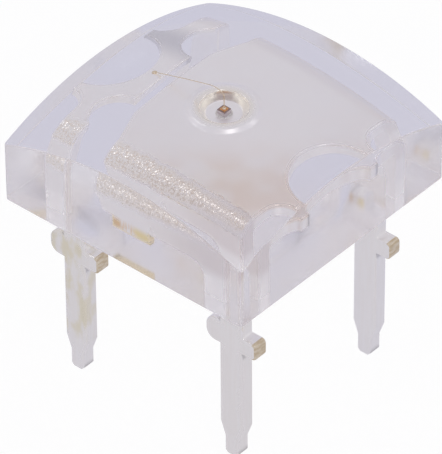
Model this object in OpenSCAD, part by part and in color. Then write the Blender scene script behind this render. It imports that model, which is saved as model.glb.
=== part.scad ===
// Square four-lead light-emitting diode with a clear domed body.
// Millimetres, +Z up. The origin is on the board's surface, midway between the four leads,
// and the leads' wide faces look along Y.

/* [Lens body] */
// Width of the square body
body_w = 7.6; // [7.2:0.1:9]
// Height of the body at its four corners
corner_h = 1.65; // [1.4:0.05:3]
// Rise of the dome from the corners to its top
dome_rise = 1.55; // [1.3:0.05:2.5]
// Radius of the four upright edges
corner_r = 0.12; // [0.05:0.01:0.3]

/* [Leads] */
// Distance between lead centres, both ways
lead_pitch = 5.08; // [4.9:0.01:5.3]
// Width of a lead
lead_w = 0.7; // [0.5:0.01:0.8]
// Thickness of the metal strip
strip_t = 0.4; // [0.3:0.01:0.45]
// Length of a lead below the board's surface
lead_len = 3.4; // [2.5:0.1:6]
// Width of a lead's narrow tip
tip_w = 0.4; // [0.3:0.01:0.48]
// Length of the narrow tip
tip_len = 0.53; // [0.3:0.01:1]
// Length of the taper above the tip
taper_len = 0.42; // [0.2:0.01:0.8]
// Bevel at the end of the tip
tip_bevel = 0.08; // [0.02:0.01:0.12]

/* [Stand-offs] */
// Height of the body above the board
standoff_h = 2.0; // [1.2:0.05:3]
// Height of the rounded ear
round_ear_h = 0.7; // [0.6:0.01:1]
// Height of the ear with a cut end
cut_ear_h = 0.49; // [0.35:0.01:0.7]
// Reach of an ear past the side of its lead
ear_reach = 0.44; // [0.35:0.01:0.6]
// Corner radius of the rounded ear
round_ear_r = 0.28; // [0.1:0.01:0.3]
// Corner radius of the ear with a cut end
cut_ear_r = 0.12; // [0.02:0.01:0.15]

/* [Lead frame] */
// Height of the frame's top above the body's underside
frame_rise = 1.8; // [1.6:0.05:2.1]
// Outer radius of the bends
bend_r = 0.5; // [0.47:0.01:0.7]
// Epoxy between the frame's prongs and the side walls
prong_cover = 0.4; // [0.25:0.01:0.5]
// Width of a prong
prong_w = 0.3; // [0.2:0.01:0.4]
// Radius of the half-round notch in each side
notch_r = 1.12; // [0.9:0.01:1.2]
// Distance from the centre to the gap between the halves
gap_x = 1.54; // [1.4:0.01:1.6]
// Width of the gap between the halves
gap_w = 0.27; // [0.15:0.01:0.3]
// Radius of the round windows beside the small half's arms
window_r = 0.68; // [0.5:0.01:0.7]
// Distance from the middle to a window's centre, along the gap
window_y = 1.64; // [1.5:0.01:1.68]
// Inset of the large half's end at its bends
end_inset = 0.29; // [0.15:0.01:0.5]
// Length over which the large half's end runs in to that inset
end_inset_len = 0.9; // [0.5:0.01:1.2]

/* [Flanges] */
// Drop of a flange's lower edge below the frame's top
flange_drop = 1.0; // [0.8:0.01:1.2]
// Lean of a flange's free end towards its lower edge
flange_lean = 0.25; // [0.1:0.01:0.4]
// Width of the cut tie stub below a flange
stub_w = 1.2; // [0.8:0.05:1.5]
// Length of the tie stub
stub_len = 0.32; // [0.1:0.01:0.35]
// Offset of the tie stub from the middle
stub_x = -0.1; // [-0.2:0.01:0.2]
// Radius of the fillet between a flange and its lead
lead_fillet_r = 0.4; // [0.2:0.01:0.6]

/* [Reflector cup] */
// Radius of the raised ring round the cup, at its foot
ring_r = 0.89; // [0.85:0.01:1]
// Radius of the ring's flat crest
crest_r = 0.77; // [0.72:0.01:0.82]
// Rise of the crest above the frame's top
ring_rise = 0.1; // [0.05:0.01:0.15]
// Radius of the cup's mouth, at the crest
mouth_r = 0.57; // [0.5:0.01:0.68]
// Radius of the cup's floor
floor_r = 0.42; // [0.36:0.01:0.45]
// Depth of the floor below the frame's top
cup_depth = 0.25; // [0.2:0.01:0.3]
// Thickness of metal under the floor
floor_t = 0.2; // [0.16:0.01:0.25]
// Width of the metal left round the floor below the plate
boss_rim = 0.2; // [0.1:0.01:0.3]

/* [Chip] */
// Width of the chip
die_w = 0.23; // [0.2:0.01:0.26]
// Height of the chip
die_h = 0.19; // [0.15:0.01:0.25]
// Width of the contact on top of the chip
contact_w = 0.15; // [0.12:0.01:0.18]
// Thickness of the contact
contact_t = 0.015; // [0.01:0.005:0.03]
// Radius of the adhesive under the chip
attach_r = 0.2; // [0.19:0.01:0.28]
// Thickness of the adhesive
attach_t = 0.02; // [0.01:0.005:0.04]

/* [Bond wire] */
// Diameter of the wire
wire_d = 0.025; // [0.02:0.001:0.028]
// Diameter of the thicker neck above the ball
neck_d = 0.032; // [0.03:0.001:0.06]
// Radius of the wire's loop above the chip
loop_r = 0.3; // [0.15:0.01:0.4]
// Slope of the wire down to its second bond, in degrees
wire_slope = 27; // [18:1:30]
// Distance from the middle to the second bond, on the small half
bond_x = 2.09; // [2:0.01:2.15]
// Radius of the flattened ball on the contact
ball_r = 0.05; // [0.04:0.005:0.06]
// Height of the flattened ball
ball_h = 0.035; // [0.02:0.005:0.05]
// Radius of the second bond
stitch_r = 0.065; // [0.05:0.005:0.1]
// Height of the second bond
stitch_h = 0.035; // [0.02:0.005:0.05]

/* [Hidden] */

$fn = 64;
dome_fn = 180;

// The dome is one sphere through the four corners and the top.
dome_r = (body_w*body_w/2 + dome_rise*dome_rise)/(2*dome_rise);
dome_top = standoff_h + corner_h + dome_rise;

lead_x = lead_pitch/2;
lead_outer_x = lead_x + lead_w/2;
lead_inner_x = lead_x - lead_w/2;
sheet_outer_y = lead_pitch/2 + strip_t/2;

frame_top = standoff_h + frame_rise;
bend_y = sheet_outer_y - bend_r;
bend_z = frame_top - bend_r;
flange_z = frame_top - flange_drop;

// The prongs end on one line near each side wall, and a round relief runs from each to its lead.
prong_x = body_w/2 - prong_cover;
relief_r = prong_x - lead_outer_x;
relief_y = notch_r + prong_w + relief_r;

small_edge_x = gap_x + gap_w;
large_end_x = gap_x - end_inset;

floor_z = frame_top - cup_depth;
cup_h = cup_depth + ring_rise;
// The cup's cone is drawn on past its mouth, to this share of its height.
cone_share = 1.5;
die_z = floor_z + attach_t;
contact_z = die_z + die_h;
ball_z = contact_z + contact_t;

// The wire's run starts where its loop has turned to the slope, and ends inside the second bond.
run_x = loop_r*(1 + sin(wire_slope));
run_len = (bond_x - run_x)/cos(wire_slope);
loop_z = frame_top + stitch_h/2 + run_len*sin(wire_slope) - loop_r*cos(wire_slope);
neck_lap = wire_d/2;

// Square of width w about the origin, with round corners.
module rounded_square(w, r) {
    square([w - 2*r, w], center = true);
    square([w, w - 2*r], center = true);
    for (x = [-1, 1], y = [-1, 1])
        translate([x*(w/2 - r), y*(w/2 - r)])
            circle(r);
}

// Bar from the origin along +X, with its two far corners rounded.
module round_ended_bar(len, h, r) {
    square([len - r, h]);
    translate([0, r])
        square([len, h - 2*r]);
    for (y = [r, h - r])
        translate([len - r, y])
            circle(r);
}

// One lead from the front, about its own middle line, up to the height given.
module lead_outline(top) {
    tip_z = -lead_len;
    neck_z = tip_z + tip_len;
    taper_z = neck_z + taper_len;
    polygon([
        [-lead_w/2, top],
        [-lead_w/2, taper_z],
        [-tip_w/2, neck_z],
        [-tip_w/2, tip_z + tip_bevel],
        [-tip_w/2 + tip_bevel, tip_z],
        [tip_w/2 - tip_bevel, tip_z],
        [tip_w/2, tip_z + tip_bevel],
        [tip_w/2, neck_z],
        [lead_w/2, taper_z],
        [lead_w/2, top]
    ]);
    mirror([1, 0])
        round_ended_bar(lead_w/2 + ear_reach, round_ear_h, round_ear_r);
    round_ended_bar(lead_w/2 + ear_reach, cut_ear_h, cut_ear_r);
}

// Flange of the large half from the front, with its tie stub and the fillet to its lead.
module flange_outline() {
    polygon([
        [-large_end_x, bend_z],
        [-large_end_x + flange_lean, flange_z],
        [lead_outer_x, flange_z],
        [lead_outer_x, bend_z]
    ]);
    translate([stub_x - stub_w/2, flange_z - stub_len])
        square([stub_w, bend_z - flange_z + stub_len]);
    fillet_x = lead_inner_x - lead_fillet_r;
    fillet_z = flange_z - lead_fillet_r;
    difference() {
        translate([fillet_x, fillet_z])
            square([lead_fillet_r + lead_w/2, bend_z - fillet_z]);
        translate([fillet_x, fillet_z])
            circle(lead_fillet_r);
    }
}

// Stands an outline drawn in X and Z upright, as a sheet at the front row of leads.
module front_sheet() {
    translate([0, -lead_pitch/2 + strip_t/2, 0])
        rotate([90, 0, 0])
            linear_extrude(strip_t)
                children();
}

// Quarter bend along X at the front, from the flat plate down to the upright sheet.
module front_bend(x0, x1) {
    translate([x0, -bend_y, bend_z])
        rotate([90, 0, 90])
            linear_extrude(x1 - x0)
                intersection() {
                    difference() {
                        circle(bend_r);
                        circle(bend_r - strip_t);
                    }
                    translate([-bend_r, 0])
                        square(bend_r);
                }
}

// Lays an outline drawn in X and Y flat, with its top at the frame's top.
module flat_plate() {
    translate([0, 0, frame_top - strip_t])
        linear_extrude(strip_t)
            children();
}

// Repeats what is drawn at the front row of leads at the back row.
module both_rows() {
    children();
    mirror([0, 1, 0])
        children();
}

// Notch and corner reliefs of the +X side, to be cut from a plate.
module side_cuts() {
    translate([prong_x, 0])
        circle(notch_r);
    for (y = [-1, 1]) {
        translate([prong_x, y*relief_y])
            circle(relief_r);
        translate([lead_outer_x, y > 0 ? relief_y : -bend_y])
            square([relief_r, bend_y - relief_y]);
    }
}

// Large half from above: straight along the gap, with its ends running in to the bends.
module cup_plate_outline() {
    difference() {
        polygon([
            [-gap_x, -(bend_y - end_inset_len)],
            [-large_end_x, -bend_y],
            [prong_x, -bend_y],
            [prong_x, bend_y],
            [-large_end_x, bend_y],
            [-gap_x, bend_y - end_inset_len]
        ]);
        side_cuts();
    }
}

// Small half from above: a neck beside the gap, with an arm to each of its leads.
module bond_plate_outline() {
    difference() {
        translate([-prong_x, -bend_y])
            square([prong_x - small_edge_x, 2*bend_y]);
        mirror([1, 0])
            side_cuts();
        for (y = [-1, 1]) {
            translate([-small_edge_x, y*window_y])
                circle(window_r);
            translate([-lead_inner_x, y > 0 ? window_y : -bend_y])
                square([lead_inner_x - small_edge_x, bend_y - window_y]);
        }
    }
}

// Space above the cup's floor: a cone that widens upwards through the mouth.
module cup_space() {
    translate([0, 0, floor_z])
        cylinder(h = cone_share*cup_h, r1 = floor_r, r2 = floor_r + cone_share*(mouth_r - floor_r));
}

// Raised ring round the cup, drawn on into the plate at the same slope.
module ring_form() {
    translate([0, 0, frame_top - ring_rise])
        cylinder(h = 2*ring_rise, r1 = 2*ring_r - crest_r, r2 = crest_r);
}

module cup_frame_form() {
    difference() {
        union() {
            flat_plate()
                cup_plate_outline();
            ring_form();
            translate([0, 0, floor_z - floor_t])
                cylinder(h = floor_t + cup_depth/2, r = floor_r + boss_rim);
        }
        cup_space();
    }
    both_rows() {
        front_bend(-large_end_x, lead_outer_x);
        front_sheet() {
            flange_outline();
            translate([lead_x, 0])
                lead_outline(bend_z);
        }
    }
}

module bond_frame_form() {
    flat_plate()
        bond_plate_outline();
    both_rows() {
        front_bend(-lead_outer_x, -lead_inner_x);
        front_sheet()
            translate([-lead_x, 0])
                lead_outline(bend_z);
    }
}

module die_form() {
    translate([-die_w/2, -die_w/2, die_z])
        cube([die_w, die_w, die_h]);
}

module contact_form() {
    translate([-contact_w/2, -contact_w/2, contact_z])
        cube([contact_w, contact_w, contact_t]);
}

module attach_form() {
    translate([0, 0, floor_z])
        cylinder(h = attach_t, r = attach_r);
}

// Loop and run of the wire, with the loop's end at the origin and the run along -X.
module wire_span() {
    translate([0, 0, -loop_r])
        rotate([90, 0, 0])
            rotate_extrude(angle = 90 + wire_slope, start = -wire_slope)
                translate([loop_r, 0])
                    circle(d = wire_d);
    rotate([0, -90, 0])
        cylinder(h = run_len, d = wire_d);
}

// Wire in the X-Z plane: flattened ball, upright neck, loop, sloping run and second bond.
module wire_form() {
    translate([0, 0, ball_z])
        cylinder(h = ball_h, r = ball_r);
    translate([0, 0, ball_z])
        cylinder(h = loop_z + neck_lap - ball_z, d = neck_d);
    translate([-run_x, 0, loop_z + loop_r*cos(wire_slope)])
        rotate([0, -wire_slope, 0])
            wire_span();
    translate([-bond_x, 0, frame_top])
        cylinder(h = stitch_h, r = stitch_r);
}

module lens_form() {
    intersection() {
        translate([0, 0, standoff_h])
            linear_extrude(corner_h + dome_rise)
                rounded_square(body_w, corner_r);
        translate([0, 0, dome_top - dome_r])
            sphere(dome_r, $fn = dome_fn);
    }
}

module lens_body() {
    color([0.86, 0.86, 0.92, 0.35])
        difference() {
            lens_form();
            cup_frame_form();
            bond_frame_form();
            die_form();
            contact_form();
            attach_form();
            wire_form();
        }
}

module cup_lead_frame() {
    color([0.80, 0.79, 0.78])
        cup_frame_form();
}

module bond_lead_frame() {
    color([0.78, 0.78, 0.79])
        bond_frame_form();
}

module led_die() {
    color([0.42, 0.36, 0.42])
        die_form();
}

module die_contact() {
    color([0.86, 0.56, 0.28])
        contact_form();
}

module die_attach() {
    color([0.72, 0.71, 0.69])
        attach_form();
}

module bond_wire() {
    color([0.80, 0.66, 0.38])
        wire_form();
}

lens_body();
cup_lead_frame();
bond_lead_frame();
led_die();
die_contact();
die_attach();
bond_wire();
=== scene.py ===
"""Looks of a square four-lead light-emitting diode with a clear domed body.

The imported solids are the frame. Each sub-assembly rebuilds its solid with the finish of the
real part: the clear casting, the two stamped and folded strip halves, the chip with its
contact and its adhesive, and the gold wire. Lengths in the classes are in millimetres and
become metres when a mesh or a node takes them.
"""

import logging
import math
from dataclasses import dataclass, field
from enum import Enum
from typing import Callable

import bmesh
import bpy
import numpy as np
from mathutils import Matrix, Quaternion, Vector
from mathutils.geometry import delaunay_2d_cdt


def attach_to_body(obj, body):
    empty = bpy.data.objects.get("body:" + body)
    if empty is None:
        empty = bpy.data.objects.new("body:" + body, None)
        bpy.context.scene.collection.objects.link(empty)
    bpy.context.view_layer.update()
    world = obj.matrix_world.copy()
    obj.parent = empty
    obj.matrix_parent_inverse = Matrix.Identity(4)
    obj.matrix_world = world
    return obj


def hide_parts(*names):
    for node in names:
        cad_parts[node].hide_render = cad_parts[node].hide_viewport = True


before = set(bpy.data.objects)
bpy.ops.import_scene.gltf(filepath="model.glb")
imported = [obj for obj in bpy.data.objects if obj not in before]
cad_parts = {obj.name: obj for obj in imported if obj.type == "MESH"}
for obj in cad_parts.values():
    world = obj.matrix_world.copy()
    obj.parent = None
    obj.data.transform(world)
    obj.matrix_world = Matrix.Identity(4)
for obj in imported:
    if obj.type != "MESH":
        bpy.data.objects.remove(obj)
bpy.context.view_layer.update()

LOG = logging.getLogger("led")
MM = 0.001
ROOT = "root"

Point = tuple[float, float]
Triple = tuple[float, float, float]
Colour = tuple[float, float, float]
Face = tuple[int, ...]
Socket = bpy.types.NodeSocket
Feed = float | str | Colour | Vector | Socket
EVEN: Triple = (1.0, 1.0, 1.0)


class EdgeKind(Enum):
    """How an edge of the strip was made."""

    SHEARED = 0
    CUT_BARE = 1


class StripSlot(Enum):
    """Material slots of a strip half, in order."""

    PLATED = 0
    COARSE = 1
    BARE = 2


def smooth_step(low: float, high: float, values: np.ndarray) -> np.ndarray:
    """Smooth rise from 0 to 1 between two limits.

    Args:
        low: where the rise starts.
        high: where it ends.
        values: the numbers to map.

    Returns:
        The mapped numbers, 0 to 1.
    """
    t = np.clip((values - low) / (high - low), 0.0, 1.0)
    return t * t * (3.0 - 2.0 * t)


def linked(name: str, data: bpy.types.ID) -> bpy.types.Object:
    """Makes an object from its data and links it to the scene.

    Args:
        name: the object's name.
        data: its mesh, light or camera.

    Returns:
        The new object.
    """
    made = bpy.data.objects.new(name, data)
    bpy.context.scene.collection.objects.link(made)
    return made


def mesh_object(
    name: str,
    points_mm: np.ndarray,
    faces: list[Face],
    materials: list[bpy.types.Material],
    slots: list[int] | None = None,
) -> bpy.types.Object:
    """Makes a smooth-shaded object at the origin from points in millimetres.

    Args:
        name: the object's name.
        points_mm: an array of points, one row each.
        faces: the corners of each face.
        materials: the object's material slots.
        slots: the material slot of each face, or None where there is one material.

    Returns:
        The new object, linked to the scene.
    """
    mesh = bpy.data.meshes.new(name)
    mesh.from_pydata((points_mm * MM).tolist(), [], faces)
    for material in materials:
        mesh.materials.append(material)
    if slots is not None:
        mesh.polygons.foreach_set("material_index", slots)
    mesh.shade_smooth()
    mesh.update()
    return linked(name, mesh)


def tidy_normals(piece: bpy.types.Object, merge_mm: float = 1e-5) -> None:
    """Merges doubled points of a closed mesh and turns its faces outwards.

    Args:
        piece: the object whose mesh is treated.
        merge_mm: points closer than this become one.
    """
    work = bmesh.new()
    work.from_mesh(piece.data)
    bmesh.ops.remove_doubles(work, verts=work.verts, dist=merge_mm * MM)
    bmesh.ops.recalc_face_normals(work, faces=work.faces)
    work.to_mesh(piece.data)
    work.free()
    piece.data.update()


@dataclass(frozen=True)
class Patches:
    """A patchy pattern.

    Fields: the width of a patch, how many finer layers it has, the noise values at which a
    patch starts and is full, and how many times longer a patch is along each axis.
    """

    size_mm: float
    detail: float = 2.0
    limits: Point = (0.35, 0.65)
    stretch: Triple = EVEN


@dataclass(frozen=True)
class Zone:
    """A place on the part, as limits on some of its axes, in millimetres.

    Two numbers say where the zone starts and where it is full. Three say that it lies between
    the first and the second, with ends as soft as the third.
    """

    x: tuple[float, ...] = ()
    y: tuple[float, ...] = ()
    z: tuple[float, ...] = ()


class NodeTree:
    """A node tree, with short ways to add and join nodes."""

    def __init__(self, tree: bpy.types.NodeTree) -> None:
        """Takes over a tree and empties it."""
        self.tree = tree
        tree.nodes.clear()

    def join(self, source: Socket, target: Socket) -> None:
        """Links one socket to another."""
        self.tree.links.new(source, target)

    def add(
        self, kind: str, feeds: dict[str | int, Feed] | None = None, **values: object
    ) -> bpy.types.Node:
        """Adds a node.

        Args:
            kind: the node's type name.
            feeds: what some of its inputs get: a socket to link, a colour or another constant.
            values: attributes to set on it before that.

        Returns:
            The new node.
        """
        node = self.tree.nodes.new(kind)
        for key, value in values.items():
            setattr(node, key, value)
        for key, value in (feeds or {}).items():
            if isinstance(value, Socket):
                self.join(value, node.inputs[key])
            else:
                opaque = isinstance(value, tuple)
                node.inputs[key].default_value = (*value, 1.0) if opaque else value
        return node

    def calc(self, operation: str, *values: float | Socket) -> Socket:
        """Works out one value from several, two at a time.

        Args:
            operation: the sum's name.
            values: numbers, or sockets that give them.

        Returns:
            The result.
        """
        total = values[0]
        for value in values[1:]:
            node = self.add("ShaderNodeMath", {0: total, 1: value}, operation=operation)
            total = node.outputs[0]
        return total

    def mixed(self, share: Socket, first: bpy.types.Node, second: bpy.types.Node) -> Socket:
        """Mixes two shaders, with so large a share of the second."""
        feeds = {0: share, 1: first.outputs[0], 2: second.outputs[0]}
        return self.add("ShaderNodeMixShader", feeds).outputs[0]


class NodeSheet(NodeTree):
    """A material's node tree, with the patterns and masks that the finishes are made of."""

    def __init__(self, name: str) -> None:
        """Starts an empty material.

        Args:
            name: the material's name.
        """
        self.material = bpy.data.materials.new(name)
        self.material.use_nodes = True
        super().__init__(self.material.node_tree)
        self.output = self.add("ShaderNodeOutputMaterial")
        self.coords = self.add("ShaderNodeTexCoord").outputs["Object"]

    def surface(self, source: Socket) -> None:
        """Makes a shader the material's surface."""
        self.join(source, self.output.inputs["Surface"])

    def principled(self, **feeds: Feed) -> bpy.types.Node:
        """Adds the surface shader.

        Args:
            feeds: what its inputs get, with underscores for the spaces in their names.

        Returns:
            The shader node, linked to the output.
        """
        named = {key.replace("_", " "): value for key, value in feeds.items()}
        node = self.add("ShaderNodeBsdfPrincipled", named)
        self.surface(node.outputs[0])
        return node

    def attribute(self, name: str) -> Socket:
        """Gives one of the mesh's own values."""
        return self.add("ShaderNodeAttribute", attribute_name=name).outputs["Fac"]

    def scaled(self, scale: Triple) -> Socket:
        """Gives the object's coordinates times a scale on each axis, per metre."""
        feeds = {"Vector": self.coords, "Scale": Vector(scale)}
        return self.add("ShaderNodeMapping", feeds).outputs[0]

    def noise(self, size_mm: float, detail: float = 2.0, stretch: Triple = EVEN) -> Socket:
        """Adds a noise pattern.

        Args:
            size_mm: how wide a typical patch is.
            detail: how many finer layers it has.
            stretch: how many times longer a patch is along each axis.

        Returns:
            The pattern's value, about 0 to 1.
        """
        scale = 1.0 / (size_mm * MM)
        place = self.scaled(tuple(scale / s for s in stretch))
        feeds = {"Vector": place, "Scale": 1.0, "Detail": detail}
        return self.add("ShaderNodeTexNoise", feeds).outputs["Fac"]

    def patches(self, look: Patches) -> Socket:
        """Adds a patchy pattern, 1 on its patches and 0 between them."""
        return self.ramp(self.noise(look.size_mm, look.detail, look.stretch), *look.limits)

    def ramp(self, value: Socket, low: float, high: float) -> Socket:
        """Maps a value smoothly to 0 at low and 1 at high, held at both ends."""
        feeds = {"Value": value, "From Min": low, "From Max": high}
        return self.add("ShaderNodeMapRange", feeds, interpolation_type="SMOOTHSTEP").outputs[0]

    def ramp_mm(self, value: Socket, limits_mm: Point) -> Socket:
        """Maps a length to 0 at the first limit and 1 at the second."""
        return self.ramp(value, *(limit * MM for limit in limits_mm))

    def span(self, value: Socket, low: float, high: float) -> Socket:
        """Maps a value of 0 to 1 onto a range."""
        feeds = {"Value": value, "To Min": low, "To Max": high}
        return self.add("ShaderNodeMapRange", feeds).outputs["Result"]

    def times(self, *values: Socket) -> Socket:
        """Multiplies values."""
        return self.calc("MULTIPLY", *values)

    def larger(self, *values: Socket) -> Socket:
        """Gives the largest of some values."""
        return self.calc("MAXIMUM", *values)

    def size(self, value: Socket) -> Socket:
        """Gives a value without its sign."""
        return self.calc("ABSOLUTE", value, 0.0)

    def radius(self) -> Socket:
        """Gives the distance from the part's upright axis, in metres."""
        feeds = {0: self.scaled((1.0, 1.0, 0.0))}
        return self.add("ShaderNodeVectorMath", feeds, operation="LENGTH").outputs["Value"]

    def axis(self, letter: str) -> Socket:
        """Gives one of the object's coordinates, in metres."""
        return self.add("ShaderNodeSeparateXYZ", {0: self.coords}).outputs[letter]

    def zone(self, place: Zone) -> Socket:
        """Builds a mask, 1 inside a place on the part and 0 outside it.

        Args:
            place: the limits of the place.

        Returns:
            The mask.
        """
        shares = []
        for letter, limits in zip("XYZ", (place.x, place.y, place.z)):
            ends = [limits] if limits else []
            if len(limits) == 3:
                low, high, soft = limits
                ends = [(low - soft, low + soft), (high + soft, high - soft)]
            shares += [self.ramp_mm(self.axis(letter), end) for end in ends]
        return self.times(*shares)

    def blend(self, share: Socket, first: Colour | Socket, second: Colour | Socket) -> Socket:
        """Blends two colours, each given or from a socket, with so large a share of the second."""
        feeds = {"Factor": share, 6: first, 7: second}
        return self.add("ShaderNodeMix", feeds, data_type="RGBA").outputs[2]

    def bump(self, height: Socket, depth_mm: float, strength: float) -> Socket:
        """Turns a height pattern of 0 to 1 into a bent normal, so deep and so strong."""
        feeds = {"Height": height, "Distance": depth_mm * MM, "Strength": strength}
        return self.add("ShaderNodeBump", feeds).outputs[0]


@dataclass(frozen=True)
class ClearEpoxy:
    """Clear cast epoxy with a faint violet cast and slow ripples from the mould.

    Its walls and its foot are duller than its dome, as the mould was not polished there.
    """

    tint: Colour = (0.985, 0.983, 1.0)
    warm_tint: Colour = (0.995, 0.985, 0.992)
    index: float = 1.52
    clouds: Patches = Patches(2.2)
    polish: Point = (0.02, 0.04)
    wall_mm: Point = (3.74, 3.79)
    foot_mm: Point = (2.06, 2.01)
    dull: float = 0.12
    ripple_mm: float = 1.1
    ripple_detail: float = 1.0
    relief: Point = (0.004, 0.45)

    def material(self) -> bpy.types.Material:
        """Builds the finish, which lets lamps reach what is cast inside.

        Returns:
            The material.
        """
        sheet = NodeSheet("clear_epoxy")
        cloud = sheet.patches(self.clouds)
        x, y, z = (sheet.size(sheet.axis(letter)) for letter in "XYZ")
        wall = sheet.ramp_mm(sheet.larger(x, y), self.wall_mm)
        foot = sheet.ramp_mm(z, self.foot_mm)
        matte = sheet.span(sheet.larger(wall, foot), 0.0, self.dull)
        ripple = sheet.noise(self.ripple_mm, self.ripple_detail)
        shader = sheet.principled(
            Base_Color=sheet.blend(cloud, self.tint, self.warm_tint),
            Roughness=sheet.larger(sheet.span(cloud, *self.polish), matte),
            Normal=sheet.bump(ripple, *self.relief),
            IOR=self.index,
            Transmission_Weight=1.0,
        )
        clear = sheet.add("ShaderNodeBsdfTransparent", {"Color": self.tint})
        shadow = sheet.add("ShaderNodeLightPath").outputs["Is Shadow Ray"]
        sheet.surface(sheet.mixed(shadow, shader, clear))
        return sheet.material


@dataclass(frozen=True)
class PlatedStrip:
    """Satin silver plating on rolled strip, polished in the cup, tinted, tarnished and worn in
    places, with painted shade on the small half's back neck and on the back folds.

    Each tint, tarnish and painted shade has its colour, and the zone or the limits that it lies
    in.
    """

    cool: Colour = (0.995, 0.984, 0.972)
    pale: Colour = (1.0, 0.995, 0.985)
    mottle: Patches = Patches(0.6, 3.0, (0.35, 0.7))
    cup: Colour = (0.98, 0.955, 0.88)
    cup_r_mm: Point = (0.76, 0.6)
    cup_zone: Zone = Zone(z=(3.56, 3.62))
    cup_polish: float = 0.6
    warm: Colour = (0.94, 0.86, 0.79)
    warm_patches: Patches = Patches(1.1, 1.0, (0.25, 0.6))
    warm_corner_mm: Point = (1.2, 3.6)
    warm_zone: Zone = Zone(z=(3.65, 3.75))
    # Painted shade: this colour darkens the small half's neck towards the back.
    shaded: Colour = (0.72, 0.72, 0.755)
    shaded_zone: Zone = Zone(x=(-1.7, -1.9), y=(0.8, 1.7, 0.4), z=(3.3, 3.5))
    # Painted shade: this colour darkens the back folds.
    bend_shade: Colour = (0.94, 0.92, 0.91)
    bend_zone: Zone = Zone(y=(2.1, 2.4), z=(3.0, 3.3))
    # A darker, pinker tone on the lower front fold towards +X.
    fold_tone: Colour = (0.88, 0.84, 0.83)
    fold_tone_zone: Zone = Zone(x=(0.0, 2.4), y=(-2.2, -2.4), z=(2.5, 2.9))
    lead: Colour = (1.0, 0.99, 0.97)
    brushed: Colour = (0.985, 0.97, 0.945)
    brush_marks: Patches = Patches(0.09, stretch=(1.0, 1.0, 14.0))
    lead_zone: Zone = Zone(z=(2.0, 1.8))
    tarnish: Colour = (0.90, 0.85, 0.66)
    tarnish_spots: Patches = Patches(0.35, 3.0, (0.42, 0.66), (1.0, 1.0, 2.2))
    tarnish_range: Point = (0.1, 0.9)
    tarnish_zone: Zone = Zone(x=(-1.9, -2.3), y=(-2.0, -2.3), z=(-2.4, 1.5, 0.6))
    copper: Colour = (0.84, 0.62, 0.36)
    copper_x_mm: Point = (-0.3, -0.52)
    yellow: Colour = (0.92, 0.80, 0.45)
    yellow_x_mm: Point = (-0.16, 0.12)
    stub_x_mm: float = -0.14
    stub_half_mm: Point = (0.7, 0.56)
    stub_zone: Zone = Zone(z=(2.52, 2.78, 0.12))
    torn_mm: float = 0.2
    torn_wander_mm: float = 0.14
    scratches: Patches = Patches(0.05, 1.0, (0.48, 0.58), (1.0, 1.0, 8.0))
    scratch_range: Point = (0.05, 0.75)
    fine_mm: float = 0.07
    fine_stretch: Triple = (1.0, 1.0, 6.0)
    satin: Point = (0.24, 0.4)
    polish_range: Point = (1.0, 0.3)
    edge_relief: Point = (0.1, 1.0)
    relief: Point = (0.012, 0.4)

    def torn_stub(self, sheet: NodeSheet, x: Socket, colour: Socket) -> Socket:
        """Bares the metal round each cut-off stub: ochre, scratched, then yellow.

        Args:
            sheet: the material's sheet.
            x: the place across the strip.
            colour: the plating's colour.

        Returns:
            The colour with the bared metal.
        """
        reach = sheet.size(sheet.calc("SUBTRACT", x, self.stub_x_mm * MM))
        stub = sheet.times(
            sheet.ramp_mm(reach, self.stub_half_mm), sheet.zone(self.stub_zone)
        )
        wander = self.torn_wander_mm * MM
        torn_x = sheet.calc("ADD", x, sheet.span(sheet.noise(self.torn_mm), -wander, wander))
        left = sheet.ramp_mm(torn_x, self.copper_x_mm)
        right = sheet.ramp_mm(torn_x, self.yellow_x_mm)
        scratch = sheet.span(sheet.patches(self.scratches), *self.scratch_range)
        bared = sheet.blend(right, self.copper, self.yellow)
        return sheet.blend(sheet.times(stub, sheet.larger(left, right, scratch)), colour, bared)

    def colour(self, sheet: NodeSheet, cup: Socket) -> Socket:
        """Builds the colour from its stains.

        Args:
            sheet: the material's sheet.
            cup: a mask of the cup.

        Returns:
            The colour.
        """
        x, y = sheet.axis("X"), sheet.axis("Y")
        colour = sheet.blend(sheet.patches(self.mottle), self.cool, self.pale)
        colour = sheet.blend(cup, colour, self.cup)
        warm = sheet.times(
            sheet.ramp_mm(sheet.calc("SUBTRACT", x, y), self.warm_corner_mm),
            sheet.patches(self.warm_patches),
            sheet.zone(self.warm_zone),
        )
        colour = sheet.blend(warm, colour, self.warm)
        # Painted shade on the small half's back neck and on the back folds, and the darker, pinker
        # tone of the lower front fold.
        for place, shade_and_tone in (
            (self.shaded_zone, self.shaded),
            (self.bend_zone, self.bend_shade),
            (self.fold_tone_zone, self.fold_tone),
        ):
            colour = sheet.blend(sheet.zone(place), colour, shade_and_tone)
        rolled = sheet.blend(sheet.patches(self.brush_marks), self.lead, self.brushed)
        colour = sheet.blend(sheet.zone(self.lead_zone), colour, rolled)
        spots = sheet.span(sheet.patches(self.tarnish_spots), *self.tarnish_range)
        old = sheet.times(sheet.zone(self.tarnish_zone), spots)
        return self.torn_stub(sheet, x, sheet.blend(old, colour, self.tarnish))

    def material(self) -> bpy.types.Material:
        """Builds the finish.

        Returns:
            The material.
        """
        sheet = NodeSheet("plated_strip")
        cup = sheet.times(
            sheet.ramp_mm(sheet.radius(), self.cup_r_mm), sheet.zone(self.cup_zone)
        )
        edge = sheet.attribute("edge")
        polished = sheet.larger(sheet.span(cup, 0.0, self.cup_polish), edge)
        fine = sheet.noise(self.fine_mm, stretch=self.fine_stretch)
        height = sheet.times(fine, sheet.span(edge, *self.edge_relief))
        satin, share = sheet.span(fine, *self.satin), sheet.span(polished, *self.polish_range)
        sheet.principled(
            Base_Color=self.colour(sheet, cup),
            Metallic=1.0,
            Roughness=sheet.times(satin, share),
            Normal=sheet.bump(height, *self.relief),
        )
        return sheet.material


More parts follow.
